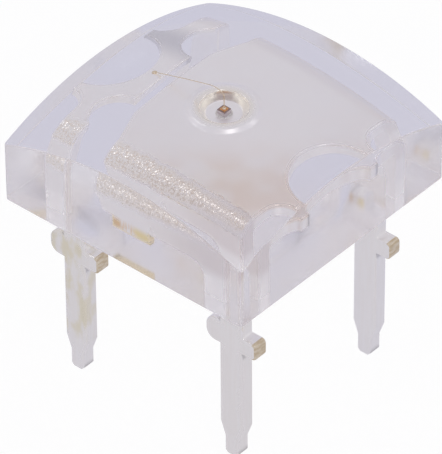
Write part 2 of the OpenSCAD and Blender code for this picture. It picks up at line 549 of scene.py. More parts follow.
@dataclass(frozen=True)
class CoarseBend:
    """Plating that crazed where the strip was folded, with copper in its gaps, paler towards -X.

    It fades into the plain plating where the mesh's coarse value is low.
    """

    pale_grain: Colour = (1.0, 0.985, 0.94)
    pale_gap: Colour = (0.92, 0.85, 0.76)
    warm_grain: Colour = (0.95, 0.89, 0.81)
    warm_gap: Colour = (0.77, 0.68, 0.59)
    plain: Colour = (0.995, 0.984, 0.972)
    # The darker, pinker tone that the plain plating takes towards +X.
    fold_tone: Colour = (0.88, 0.84, 0.83)
    warm_zone: Zone = Zone(x=(-2.2, 2.6))
    cell_mm: float = 0.05
    fade: Point = (0.02, 0.5)
    gap_limits: Point = (0.35, 0.8)
    satin: Point = (0.18, 0.4)
    relief: Point = (0.008, 0.5)

    def material(self) -> bpy.types.Material:
        """Builds the finish.

        Returns:
            The material.
        """
        sheet = NodeSheet("coarse_bend")
        scale = 1.0 / (self.cell_mm * MM)
        feeds = {"Vector": sheet.scaled((scale, scale, scale)), "Scale": 1.0}
        away = sheet.add("ShaderNodeTexVoronoi", feeds, feature="F1").outputs["Distance"]
        amount = sheet.ramp(sheet.attribute("coarse"), *self.fade)
        gaps = sheet.times(sheet.ramp(away, *self.gap_limits), amount)
        side = sheet.zone(self.warm_zone)
        grain = sheet.blend(side, self.pale_grain, self.warm_grain)
        gap = sheet.blend(side, self.pale_gap, self.warm_gap)
        plain = sheet.blend(side, self.plain, self.fold_tone)
        sheet.principled(
            Base_Color=sheet.blend(amount, plain, sheet.blend(gaps, grain, gap)),
            Metallic=1.0,
            Roughness=sheet.span(gaps, *self.satin),
            Normal=sheet.bump(sheet.times(away, amount), *self.relief),
        )
        return sheet.material


@dataclass(frozen=True)
class BareMetal:
    """Bare copper alloy where the strip was cut after plating, with marks of the shears."""

    bright: Colour = (0.85, 0.765, 0.60)
    dull: Colour = (0.70, 0.59, 0.41)
    gilt: Colour = (0.96, 0.85, 0.60)
    plated: Colour = (0.95, 0.935, 0.91)
    marks: Patches = Patches(0.06, stretch=(1.0, 4.0, 1.0))
    back_zone: Zone = Zone(y=(0.0, 1.0))
    cast_in_zone: Zone = Zone(z=(1.5, 2.0))
    satin: Point = (0.25, 0.45)
    relief: Point = (0.004, 0.4)

    def material(self) -> bpy.types.Material:
        """Builds the finish, which is yellower on the front stub that is cast in.

        Returns:
            The material.
        """
        sheet = NodeSheet("bare_cut_metal")
        marks = sheet.patches(self.marks)
        ears = sheet.blend(marks, self.bright, self.dull)
        stubs = sheet.blend(sheet.zone(self.back_zone), self.gilt, self.plated)
        sheet.principled(
            Base_Color=sheet.blend(sheet.zone(self.cast_in_zone), ears, stubs),
            Metallic=1.0,
            Roughness=sheet.span(marks, *self.satin),
            Normal=sheet.bump(marks, *self.relief),
        )
        return sheet.material


@dataclass(frozen=True)
class ChipCrystal:
    """Sawn semiconductor crystal, violet-grey at the sides and dark on top."""

    side: Colour = (0.40, 0.33, 0.37)
    saw_mark: Colour = (0.57, 0.50, 0.51)
    top: Colour = (0.16, 0.055, 0.03)
    marks: Patches = Patches(0.03, 2.0, (0.4, 0.6), (5.0, 5.0, 1.0))
    top_edge_mm: Point = (-0.02, -0.006)
    roughness: float = 0.3
    index: float = 2.4
    relief: Point = (0.002, 0.4)

    def material(self, top_mm: float) -> bpy.types.Material:
        """Builds the finish.

        Args:
            top_mm: the height of the chip's top.

        Returns:
            The material.
        """
        sheet = NodeSheet("chip_crystal")
        marks = sheet.patches(self.marks)
        low, high = self.top_edge_mm
        upper = sheet.zone(Zone(z=(top_mm + low, top_mm + high)))
        sides = sheet.blend(marks, self.side, self.saw_mark)
        sheet.principled(
            Base_Color=sheet.blend(upper, sides, self.top),
            Roughness=self.roughness,
            IOR=self.index,
            Normal=sheet.bump(marks, *self.relief),
        )
        return sheet.material


@dataclass(frozen=True)
class Metal:
    """Plain metal with a fine grain.

    Fields: the material's name, its two colours, its range of roughness, its grain, how deep the
    grain goes as a share of its size, and how much of it shows.
    """

    name: str
    bright: Colour
    dull: Colour
    satin: Point
    grain: Patches
    depth_share: float = 0.05
    strength: float = 0.5

    def material(self) -> bpy.types.Material:
        """Builds the finish.

        Returns:
            The material.
        """
        sheet = NodeSheet(self.name)
        grain = sheet.patches(self.grain)
        depth_mm = self.grain.size_mm * self.depth_share
        sheet.principled(
            Base_Color=sheet.blend(grain, self.bright, self.dull),
            Metallic=1.0,
            Roughness=sheet.span(grain, *self.satin),
            Normal=sheet.bump(grain, depth_mm, self.strength),
        )
        return sheet.material


CONTACT_GOLD = Metal(
    "contact_gold", (0.96, 0.55, 0.20), (0.66, 0.27, 0.06), (0.2, 0.4), Patches(0.03)
)
WIRE_GOLD = Metal(
    "wire_gold",
    (0.88, 0.77, 0.58),
    (0.76, 0.63, 0.43),
    (0.2, 0.35),
    Patches(0.02, stretch=(6.0, 1.0, 3.0)),
)
SILVER_PASTE = Metal(
    "silver_paste", (0.86, 0.85, 0.83), (0.66, 0.64, 0.62), (0.35, 0.6), Patches(0.025)
)


@dataclass
class Outline:
    """A closed outline on the flat strip, with how each of its edges was made.

    Its arcs have at least so many edges, none longer or with a wider turn than given here. The
    last field holds back how far sharp corners move inwards.
    """

    points: list[Point] = field(default_factory=list)
    kinds: list[EdgeKind] = field(default_factory=list)
    arc_step: float = 0.03
    arc_turn: float = 0.2
    arc_least: int = 3
    corner_share: float = 0.35

    def line(self, x: float, s: float, kind: EdgeKind = EdgeKind.SHEARED) -> None:
        """Adds a point, with the kind of the edge that leads on from it."""
        self.points.append((x, s))
        self.kinds.append(kind)

    def arc(
        self,
        x: float,
        s: float,
        radius: float,
        first_deg: float,
        last_deg: float,
        kind: EdgeKind = EdgeKind.SHEARED,
    ) -> None:
        """Adds an arc.

        Args:
            x: the centre across the strip.
            s: the centre along the strip.
            radius: the arc's radius.
            first_deg: the angle of its first point.
            last_deg: the angle of its last point.
            kind: how its edges were made.
        """
        turn = math.radians(abs(last_deg - first_deg))
        edges = max(turn * radius / self.arc_step, turn / self.arc_turn)
        count = max(self.arc_least, math.ceil(edges))
        for angle in np.radians(np.linspace(first_deg, last_deg, count + 1)):
            self.line(x + radius * math.cos(angle), s + radius * math.sin(angle), kind)

    def extend(self, other: "Outline") -> None:
        """Adds the points of another outline."""
        self.points += other.points
        self.kinds += other.kinds

    def backwards(self, closed: bool = False) -> "Outline":
        """Gives the same points in the opposite order.

        Args:
            closed: whether the line's last point leads on to its first.

        Returns:
            The turned outline.
        """
        turned = Outline()
        for i in reversed(range(len(self.points))):
            kind = self.kinds[i - 1] if i or closed else EdgeKind.SHEARED
            turned.line(*self.points[i], kind)
        return turned

    def mirrored(self) -> "Outline":
        """Joins this half to its mirror image across s = 0, without doubled points.

        Returns:
            The closed outline.
        """
        whole, other = Outline(), self.backwards()
        whole.extend(self)
        whole.extend(Outline([(x, -s) for x, s in other.points], other.kinds))
        return whole.without_doubles()

    def without_doubles(self, least: float = 1e-4) -> "Outline":
        """Leaves out points that lie on the one after them.

        Args:
            least: points closer than this are one.

        Returns:
            The outline that is left.
        """
        kept = Outline()
        for a, b, kind in zip(self.points, self.points[1:] + self.points[:1], self.kinds):
            if math.dist(a, b) > least:
                kept.line(*a, kind)
        return kept

    def counterclockwise(self) -> "Outline":
        """Puts the metal on the left of each edge.

        Returns:
            The outline, turned if need be.
        """
        p = np.array(self.points)
        q = np.roll(p, -1, axis=0)
        area = float(np.sum(p[:, 0] * q[:, 1] - q[:, 0] * p[:, 1]))
        return self if area > 0 else self.backwards(closed=True)

    def refined(self, limit: Callable[[float], float]) -> "Outline":
        """Splits long edges.

        Args:
            limit: gives the longest edge allowed at a place along the strip.

        Returns:
            The outline with more points.
        """
        fine = Outline()
        for a, b, kind in zip(self.points, self.points[1:] + self.points[:1], self.kinds):
            parts = max(1, math.ceil(math.dist(a, b) / limit((a[1] + b[1]) / 2)))
            for k in range(parts):
                t = k / parts
                fine.line(a[0] + (b[0] - a[0]) * t, a[1] + (b[1] - a[1]) * t, kind)
        return fine

    def inward(self) -> np.ndarray:
        """Works out the step at each point that moves both of its edges inwards by one.

        Returns:
            The steps, one row each.
        """
        p = np.array(self.points)
        along = np.roll(p, -1, axis=0) - p
        along /= np.linalg.norm(along, axis=1, keepdims=True)
        normal = np.stack([-along[:, 1], along[:, 0]], axis=1)
        before = np.roll(normal, 1, axis=0)
        share = 1.0 + np.sum(normal * before, axis=1, keepdims=True)
        return (normal + before) / np.maximum(share, self.corner_share)


def inside(points: np.ndarray, loop: np.ndarray) -> np.ndarray:
    """Tells which points lie inside a closed loop.

    Args:
        points: the points, one row each.
        loop: the loop's corners, one row each.

    Returns:
        True for each point inside.
    """
    found = np.zeros(len(points), bool)
    x, y = points[:, 0], points[:, 1]
    for (ax, ay), (bx, by) in zip(loop, np.roll(loop, -1, axis=0)):
        if ay != by:
            found ^= ((ay > y) != (by > y)) & (x < (bx - ax) * (y - ay) / (by - ay) + ax)
    return found


@dataclass
class Strip:
    """The strip that both halves are stamped from, and the fold at each row of leads.

    Coarse plating lies between two shares of the fold's arc. Its lower limit rises and it fades
    between places across the strip, and its limits wander in waves, each with its height, how
    many radians it turns per millimetre, and where it starts.
    """

    thickness: float = 0.4
    top: float = 3.8
    bend_y: float = 2.24
    bend_r: float = 0.5
    roll_over: float = 0.05
    burr_side: float = 0.025
    support: float = 0.014
    coarse_soft: float = 0.08
    coarse_start: float = 0.14
    coarse_share: Point = (0.9, 0.74)
    coarse_share_x: Point = (-1.2, 2.2)
    coarse_fade: float = 0.68
    coarse_fade_x: Point = (-0.6, 2.2)
    coarse_ragged: float = 0.014
    ragged_waves: tuple[Triple, ...] = ((1.0, 9.0, 1.0), (0.7, 23.0, 0.0))
    fine_step: float = 0.021
    bend_step: float = 0.045
    flat_step: float = 0.3

    @property
    def arc(self) -> float:
        """Length of the fold at the middle of the strip's thickness."""
        return (self.bend_r - self.thickness / 2) * math.pi / 2

    @property
    def bend_z(self) -> float:
        """Height of the fold's axis."""
        return self.top - self.bend_r

    def along(self, z: float) -> float:
        """Place along the flat strip of a height on the upright part."""
        return self.bend_y + self.arc + self.bend_z - z

    def fold(self, flat: np.ndarray) -> np.ndarray:
        """Folds points of the flat strip.

        Args:
            flat: rows of place across, place along and height above the strip's top.

        Returns:
            Rows of x, y and z.
        """
        u, s, w = flat.T
        side = np.where(s < 0, -1.0, 1.0)
        far = np.abs(s)
        turn = np.clip((far - self.bend_y) / self.arc, 0.0, 1.0) * math.pi / 2
        radius = self.bend_r + w
        y = np.minimum(far, self.bend_y) + radius * np.sin(turn)
        down = np.maximum(far - self.bend_y - self.arc, 0.0)
        z = self.bend_z + radius * np.cos(turn) - down
        return np.stack([u, side * y, z], axis=1)

    def edge_limit(self, s: float) -> float:
        """Longest edge of an outline at a place along the strip."""
        start, end = self.bend_y, self.bend_y + self.arc
        return self.bend_step if start < abs(s) < end else self.flat_step

    def coarse(self, u: np.ndarray, s: np.ndarray) -> np.ndarray:
        """How coarse the plating is: on the front folds, less far down them towards +X.

        Args:
            u: places across the strip.
            s: places along the strip.

        Returns:
            A number from 0 to 1 for each place.
        """
        waves = sum(high * np.sin(per_mm * u + start) for high, per_mm, start in self.ragged_waves)
        ragged = self.coarse_ragged * waves
        far = -s - self.bend_y
        wide, narrow = self.coarse_share
        reach = wide + (narrow - wide) * smooth_step(*self.coarse_share_x, u)
        soft = self.coarse_soft
        rise = smooth_step(-soft, soft, far - self.arc * self.coarse_start - ragged)
        fade = 1.0 - self.coarse_fade * smooth_step(*self.coarse_fade_x, u)
        return fade * rise * (1.0 - smooth_step(-soft, soft, far - self.arc * reach + ragged))


@dataclass
class Coin:
    """A round form pressed into one face of the strip, as its profile from the rim inwards."""

    profile: list[Point]
    count: int = 96

    def ring(self, radius: float) -> np.ndarray:
        """Points of a circle about the origin."""
        angle = np.linspace(0.0, 2 * math.pi, self.count, endpoint=False)
        return np.stack([radius * np.cos(angle), radius * np.sin(angle)], axis=1)


class StripMesher:
    """Makes a folded strip half from its outline, with rounded edges and pressed forms.

    Constants: the turns of the rolled upper edge and of the crisp lower edge in degrees, how far
    inner points keep from a rim as a share of the finest step, and what counts as one point.
    """

    ROLL_TURNS = (25.0, 50.0, 75.0, 90.0)
    BURR_TURNS = (90.0, 60.0, 30.0)
    RIM_SHARE = 0.7
    SAME = 1e-7

    def __init__(self, strip: Strip, outline: Outline) -> None:
        """Keeps the strip and the outline, split finely enough for the fold.

        Args:
            strip: the strip.
            outline: the half's outline on the flat strip.
        """
        self.strip = strip
        self.outline = outline.counterclockwise().refined(strip.edge_limit)
        self.loop = np.array(self.outline.points)
        self.step = self.outline.inward()
        self.flat: list[np.ndarray] = []
        self.faces: list[Face] = []
        self.slots: list[int] = []
        self.rolled: list[np.ndarray] = []
        self.count = 0

    def add_points(self, xy: np.ndarray, w: float) -> np.ndarray:
        """Adds points at one height.

        Args:
            xy: their places on the flat strip, one row each.
            w: their height above the strip's top.

        Returns:
            Their numbers.
        """
        self.flat.append(np.column_stack([xy, np.full(len(xy), w)]))
        first = self.count
        self.count += len(xy)
        return np.arange(first, self.count)

    def add_face(self, corners: Face, slot: StripSlot = StripSlot.PLATED) -> None:
        """Adds a face with its finish."""
        self.faces.append(tuple(int(corner) for corner in corners))
        self.slots.append(slot.value)

    def face_points(
        self, border: np.ndarray, hole: np.ndarray | None, fine: bool
    ) -> np.ndarray:
        """Places points inside a face: close together at the folds and wide apart elsewhere.

        Args:
            border: the face's border.
            hole: a loop that is left out, or None.
            fine: whether the folds get the finest points, for their coarse plating.

        Returns:
            The points.
        """
        strip = self.strip
        low, high = border.min(0), border.max(0)
        margin = 2 * strip.coarse_soft
        start, end = strip.bend_y - margin, strip.bend_y + strip.arc + margin
        flat_rows = np.arange(0.0, np.abs(border[:, 1]).max(), strip.flat_step)
        flat_rows = flat_rows[(flat_rows < start - margin) | (flat_rows > end + margin)]
        sets = []
        for side in (-1.0, 1.0):
            near = strip.fine_step if fine and side < 0 else strip.bend_step
            for rows, pitch in ((flat_rows, strip.flat_step), (np.arange(start, end, near), near)):
                for i, s in enumerate(rows):
                    x = np.arange(low[0] + (i % 2) * pitch / 2, high[0], pitch)
                    sets.append(np.column_stack([x, np.full(len(x), side * s)]))
        grid = np.concatenate(sets)
        grid = grid[inside(grid, border)]
        rims = border
        if hole is not None:
            grid = grid[~inside(grid, hole)]
            rims = np.concatenate([border, hole])
        gap = np.array([np.min(np.sum((rims - p) ** 2, axis=1)) for p in grid])
        return grid[gap > (self.RIM_SHARE * strip.fine_step) ** 2]

    def cover(
        self, inset: float, w: float, coin: Coin | None, upward: bool
    ) -> tuple[np.ndarray, np.ndarray | None]:
        """Makes one wide face of the strip.

        Args:
            inset: how far its border lies inside the outline.
            w: its height above the strip's top.
            coin: the form pressed into it, or None.
            upward: whether it looks up.

        Returns:
            The numbers of its border's points and of the pressed form's rim, or None for the rim.
        """
        extra = self.strip.support
        border = self.loop + self.step * inset
        support = self.loop + self.step * (inset + extra)
        n = len(border)
        edges = [(i, (i + 1) % n) for i in range(n)]
        parts, rim = [border, support], None
        if coin:
            reach = coin.profile[0][0]
            rim = coin.ring(reach)
            parts += [rim, coin.ring(reach + extra)]
            edges += [(2 * n + i, 2 * n + (i + 1) % coin.count) for i in range(coin.count)]
        points = np.concatenate([*parts, self.face_points(support, rim, upward)])
        made = delaunay_2d_cdt([Vector(p) for p in points], edges, [], 0, self.SAME)
        out = np.array([tuple(v) for v in made[0]])
        triangles = np.array(made[2])
        middle = out[triangles].mean(axis=1)
        keep = inside(middle, border)
        if rim is not None:
            keep &= ~inside(middle, rim)
        numbers = self.add_points(out, w)
        place = {source: numbers[i] for i, found in enumerate(made[3]) for source in found}
        for corners in numbers[triangles[keep]]:
            self.add_face(corners if upward else corners[::-1])
        rim_numbers = None
        if coin:
            rim_numbers = np.array([place[2 * n + i] for i in range(coin.count)])
        return np.array([place[i] for i in range(n)]), rim_numbers

    def band(self, upper: np.ndarray, lower: np.ndarray, kinds: list[EdgeKind] | None) -> None:
        """Joins two rows of points all the way round.

        Args:
            upper: the numbers of the upper row.
            lower: the numbers of the lower row.
            kinds: how each edge was made, or None where all are plated.
        """
        n = len(upper)
        for i in range(n):
            k = (i + 1) % n
            bare = kinds is not None and kinds[i] is EdgeKind.CUT_BARE
            slot = StripSlot.BARE if bare else StripSlot.PLATED
            self.add_face((lower[i], lower[k], upper[k], upper[i]), slot)

    def side(self, top_rim: np.ndarray, bottom_rim: np.ndarray) -> None:
        """Makes the strip's edge: rolled over at the top, upright, and crisp at the bottom.

        Args:
            top_rim: the numbers of the upper face's border.
            bottom_rim: the numbers of the lower face's border.
        """
        strip = self.strip
        rows = [top_rim]
        for turn in np.radians(self.ROLL_TURNS):
            inset = strip.roll_over * (1 - math.sin(turn))
            drop = strip.roll_over * (1 - math.cos(turn))
            rows.append(self.add_points(self.loop + self.step * inset, -drop))
        self.rolled += rows
        depth = strip.thickness
        for drop in (strip.roll_over + strip.support, depth - strip.burr_side - strip.support):
            rows.append(self.add_points(self.loop, -drop))
        for turn in np.radians(self.BURR_TURNS):
            inset = strip.burr_side * (1 - math.sin(turn))
            drop = depth - strip.burr_side * (1 - math.cos(turn))
            rows.append(self.add_points(self.loop + self.step * inset, -drop))
        rows.append(bottom_rim)
        for upper, lower in zip(rows, rows[1:]):
            self.band(upper, lower, self.outline.kinds)

    def press(self, coin: Coin, rim: np.ndarray, upward: bool) -> None:
        """Makes a pressed form inside its rim.

        Args:
            coin: the form.
            rim: the numbers of its rim's points.
            upward: whether it looks up.
        """
        rows = [rim]
        for radius, w in coin.profile[1:-1]:
            rows.append(self.add_points(coin.ring(radius), w))
        for outer, inner in zip(rows, rows[1:]):
            self.band(*((inner, outer) if upward else (outer, inner)), None)
        centre = self.add_points(np.zeros((1, 2)), coin.profile[-1][1])[0]
        last = rows[-1]
        for i in range(coin.count):
            face = (last[i], last[(i + 1) % coin.count], centre)
            self.add_face(face if upward else face[::-1])

    def build(
        self,
        name: str,
        materials: list[bpy.types.Material],
        upper_coin: Coin | None = None,
        lower_coin: Coin | None = None,
    ) -> bpy.types.Object:
        """Makes the folded half.

        Args:
            name: the object's name.
            materials: the finishes, in the order of StripSlot.
            upper_coin: the form pressed into the top, or None.
            lower_coin: the form that stands out below, or None.

        Returns:
            The new object, with point attributes that say how coarse its plating is and where its
            edge is rolled over.
        """
        strip = self.strip
        top_rim, top_hole = self.cover(strip.roll_over, 0.0, upper_coin, True)
        top_count = self.count
        bottom_rim, bottom_hole = self.cover(strip.burr_side, -strip.thickness, lower_coin, False)
        self.side(top_rim, bottom_rim)
        for coin, hole, upward in ((upper_coin, top_hole, True), (lower_coin, bottom_hole, False)):
            if coin is not None:
                self.press(coin, hole, upward)
        flat = np.concatenate(self.flat)
        piece = mesh_object(name, strip.fold(flat), self.faces, materials, self.slots)
        coarse = strip.coarse(flat[:, 0], flat[:, 1])
        coarse[top_count:] = 0.0
        coarse[top_rim] = 0.0
        rolled = np.zeros(len(flat))
        rolled[np.concatenate(self.rolled)] = 1.0
        for label, values in (("coarse", coarse), ("edge", rolled)):
            attribute = piece.data.attributes.new(label, "FLOAT", "POINT")
            attribute.data.foreach_set("value", values.astype(np.float32))
        return piece


class NodeTool(NodeTree):
    """A geometry node tree with named inputs, run once on an object and baked into its mesh."""

    def __init__(self, name: str, sizes: tuple[str, ...]) -> None:
        """Starts a tree.

        Args:
            name: the tree's name.
            sizes: the names of its inputs besides the geometry and the finish.
        """
        super().__init__(bpy.data.node_groups.new(name, "GeometryNodeTree"))
        self.inputs: dict[str, str] = {}
        self.tree.interface.new_socket(
            name="Geometry", in_out="OUTPUT", socket_type="NodeSocketGeometry"
        )
        self.socket("Geometry", "NodeSocketGeometry")
        for size in sizes:
            self.socket(size, "NodeSocketFloat")
        self.socket("Finish", "NodeSocketMaterial")
        self.given = self.add("NodeGroupInput").outputs

    def socket(self, name: str, kind: str) -> None:
        """Adds a named input and keeps its identifier."""
        made = self.tree.interface.new_socket(name=name, in_out="INPUT", socket_type=kind)
        self.inputs[name] = made.identifier

    def finish(self, source: Socket, **selection: Socket) -> None:
        """Ends the tree in Realize Instances and Set Material.

        Args:
            source: the geometry.
            selection: under the name Selection, the faces that take the finish, if not all.
        """
        real = self.add("GeometryNodeRealizeInstances", {0: source})
        feeds = {"Geometry": real.outputs[0], "Material": self.given["Finish"], **selection}
        paint = self.add("GeometryNodeSetMaterial", feeds)
        self.add("NodeGroupOutput", {0: paint.outputs[0]})

    def bake(self, piece: bpy.types.Object, values: dict[str, object]) -> None:
        """Runs the tree on an object and keeps the result as its mesh.

        Args:
            piece: the object.
            values: the tree's inputs by name.
        """
        modifier = piece.modifiers.new(self.tree.name, "NODES")
        modifier.node_group = self.tree
        for name, value in values.items():
            modifier[self.inputs[name]] = value
        graph = bpy.context.evaluated_depsgraph_get()
        mesh = bpy.data.meshes.new_from_object(piece.evaluated_get(graph), depsgraph=graph)
        piece.modifiers.remove(modifier)
        old = piece.data
        piece.data = mesh
        bpy.data.meshes.remove(old)
        mesh.name = piece.name


class CoarseGrain(NodeTool):
    """Raises grains on the folds of a strip half, where its coarse attribute says so.

    Constants: the noise value that stays at the surface, the noise's finer layers, and the least
    coarse value that takes the coarse finish.
    """

    LEVEL = 0.62
    DETAIL = 2.0
    LEAST = 0.02

    def __init__(self) -> None:
        """Builds the tree: noise along the normal, and the coarse finish where it moves faces."""
        super().__init__("coarse_grain", ("Grain size", "Grain depth", "Seed"))
        given = self.given
        mask = self.add("GeometryNodeInputNamedAttribute", {"Name": "coarse"}, data_type="FLOAT")
        coarse = mask.outputs["Attribute"]
        scale = self.calc("DIVIDE", 1.0, given["Grain size"])
        feeds = {"Scale": scale, "W": given["Seed"], "Detail": self.DETAIL}
        noise = self.add("ShaderNodeTexNoise", feeds, noise_dimensions="4D")
        swing = self.calc("SUBTRACT", noise.outputs["Fac"], self.LEVEL)
        height = self.calc("MULTIPLY", swing, given["Grain depth"], coarse)
        normal = self.add("GeometryNodeInputNormal").outputs[0]
        offset = self.add("ShaderNodeVectorMath", {0: normal, "Scale": height}, operation="SCALE")
        feeds = {"Geometry": given["Geometry"], "Offset": offset.outputs[0]}
        move = self.add("GeometryNodeSetPosition", feeds)
        chosen = self.add(
            "FunctionNodeCompare",
            {0: coarse, 1: self.LEAST},
            data_type="FLOAT",
            operation="GREATER_THAN",
        )
        self.finish(move.outputs[0], Selection=chosen.outputs[0])


class DrawnWire(NodeTool):
    """Sweeps a round wire, with that many sides, along the object's own line of points."""

    SIDES = 16

    def __init__(self) -> None:
        """Builds the tree: the line as a curve, resampled and given a round section."""
        super().__init__("drawn_wire", ("Wire radius", "Step"))
        given = self.given
        curve = self.add("GeometryNodeMeshToCurve", {0: given["Geometry"]})
        feeds = {"Curve": curve.outputs[0], "Length": given["Step"]}
        even = self.add("GeometryNodeResampleCurve", feeds, mode="LENGTH")
        feeds = {"Resolution": self.SIDES, "Radius": given["Wire radius"]}
        section = self.add("GeometryNodeCurvePrimitiveCircle", feeds, mode="RADIUS")
        feeds = {"Curve": even.outputs[0], "Profile Curve": section.outputs[0], "Fill Caps": True}
        sweep = self.add("GeometryNodeCurveToMesh", feeds)
        smooth = self.add("GeometryNodeSetShadeSmooth", {"Geometry": sweep.outputs[0]})
        self.finish(smooth.outputs[0])


def hand_over(piece: bpy.types.Object, node: str) -> bpy.types.Object:
    """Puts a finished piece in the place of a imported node.

    Args:
        piece: the finished piece.
        node: the node that it stands for.

    Returns:
        The piece.
    """
    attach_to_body(piece, ROOT)
    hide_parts(node)
    return piece


@dataclass
class Lead:
    """One lead below the body, with its stand-off ears and narrow tip."""

    width: float = 0.7
    length: float = 3.4
    tip_w: float = 0.4
    tip_len: float = 0.53
    taper_len: float = 0.42
    tip_bevel: float = 0.08
    round_ear_h: float = 0.7
    cut_ear_h: float = 0.49
    ear_reach: float = 0.44
    round_ear_r: float = 0.28
    cut_ear_r: float = 0.12

    def drawn(self, strip: Strip, x: float) -> Outline:
        """Draws the lead from the top of one ear, round the tip, to the top of the other.

        Args:
            strip: the strip that the lead is part of.
            x: the lead's middle.

        Returns:
            The open outline: the +X side with its cut ear, the tip, and the -X side with its
            round ear.
        """
        path = Outline()
        right, left = x + self.width / 2, x - self.width / 2
        high, r = self.cut_ear_h, self.cut_ear_r
        end = right + self.ear_reach - r
        path.line(right, strip.along(high))
        path.arc(end, strip.along(high - r), r, -90.0, 0.0, EdgeKind.CUT_BARE)
        path.arc(end, strip.along(r), r, 0.0, 90.0, EdgeKind.CUT_BARE)
        path.kinds[-1] = EdgeKind.SHEARED
        path.line(right, strip.along(0.0))
        low = -self.length
        neck = low + self.tip_len
        half = self.tip_w / 2
        side = (
            (self.width / 2, neck + self.taper_len),
            (half, neck),
            (half, low + self.tip_bevel),
            (half - self.tip_bevel, low),
        )
        for reach, z in side:
            path.line(x + reach, strip.along(z))
        for reach, z in reversed(side):
            path.line(x - reach, strip.along(z))
        path.line(left, strip.along(0.0))
        high, r = self.round_ear_h, self.round_ear_r
        end = left - self.ear_reach + r
        path.arc(end, strip.along(r), r, 90.0, 180.0)
        path.arc(end, strip.along(high - r), r, 180.0, 270.0)
        path.line(left, strip.along(high))
        return path


@dataclass
class FrameSizes:
    """Sizes that the two halves of the lead frame share."""

    lead_x: float = 2.54
    prong_x: float = 3.4
    prong_w: float = 0.3
    notch_r: float = 1.12
    gap_x: float = 1.54
    gap_w: float = 0.27

    @property
    def relief_r(self) -> float:
        """Radius of the relief between a prong and its lead."""
        return self.prong_x - self.lead_x - Lead.width / 2

    @property
    def relief_y(self) -> float:
        """Middle of that relief."""
        return self.notch_r + self.prong_w + self.relief_r


@dataclass
class StripHalf:
    """One half of the lead frame.

    Constants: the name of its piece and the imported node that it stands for.
    """

    PIECE = ""
    NODE = ""

    strip: Strip
    finishes: list[bpy.types.Material]
    sizes: FrameSizes = field(default_factory=FrameSizes)
    lead: Lead = field(default_factory=Lead)
    grain_mm: float = 0.06
    grain_depth_mm: float = 0.07
    seed: float = 3.0

    def outline(self) -> Outline:
        """Draws the half on the flat strip."""
        raise NotImplementedError

    def coins(self) -> tuple[Coin, ...]:
        """Gives the forms pressed into its top and its underside."""
        return ()

    def dress(self, piece: bpy.types.Object, tool: CoarseGrain) -> bpy.types.Object:
        """Raises the coarse grain on the folds and hands the piece to the frame.

        Args:
            piece: the folded half.
            tool: the node tree that raises the grain.

        Returns:
            The piece.
        """
        tidy_normals(piece)
        tool.bake(
            piece,
            {
                "Grain size": self.grain_mm * MM,
                "Grain depth": self.grain_depth_mm * MM,
                "Seed": self.seed,
                "Finish": self.finishes[StripSlot.COARSE.value],
            },
        )
        return hand_over(piece, self.NODE)

    def build(self, tool: CoarseGrain) -> bpy.types.Object:
        """Makes the half and dresses it."""
        mesher = StripMesher(self.strip, self.outline())
        return self.dress(mesher.build(self.PIECE, self.finishes, *self.coins()), tool)


def rounded_profile(
    corners: list[Point], radius: float, steps: int = 6, side_share: float = 0.45
) -> list[Point]:
    """Rounds the inner corners of an open line.

    Args:
        corners: the line's points.
        radius: how far from a corner its rounding starts.
        steps: how many parts a rounding has.
        side_share: the most that a rounding takes of a side.

    Returns:
        The points of the rounded line.
    """
    made = [corners[0]]
    for before, corner, after in zip(corners, corners[1:], corners[2:]):
        a, b, c = (np.array(p) for p in (before, corner, after))
        back, on = np.linalg.norm(a - b), np.linalg.norm(c - b)
        cut = min(radius, side_share * back, side_share * on)
        start, end = b + (a - b) / back * cut, b + (c - b) / on * cut
        for t in np.linspace(0.0, 1.0, steps + 1):
            point = (1 - t) ** 2 * start + 2 * t * (1 - t) * b + t * t * end
            made.append((float(point[0]), float(point[1])))
    made.append(corners[-1])
    return made


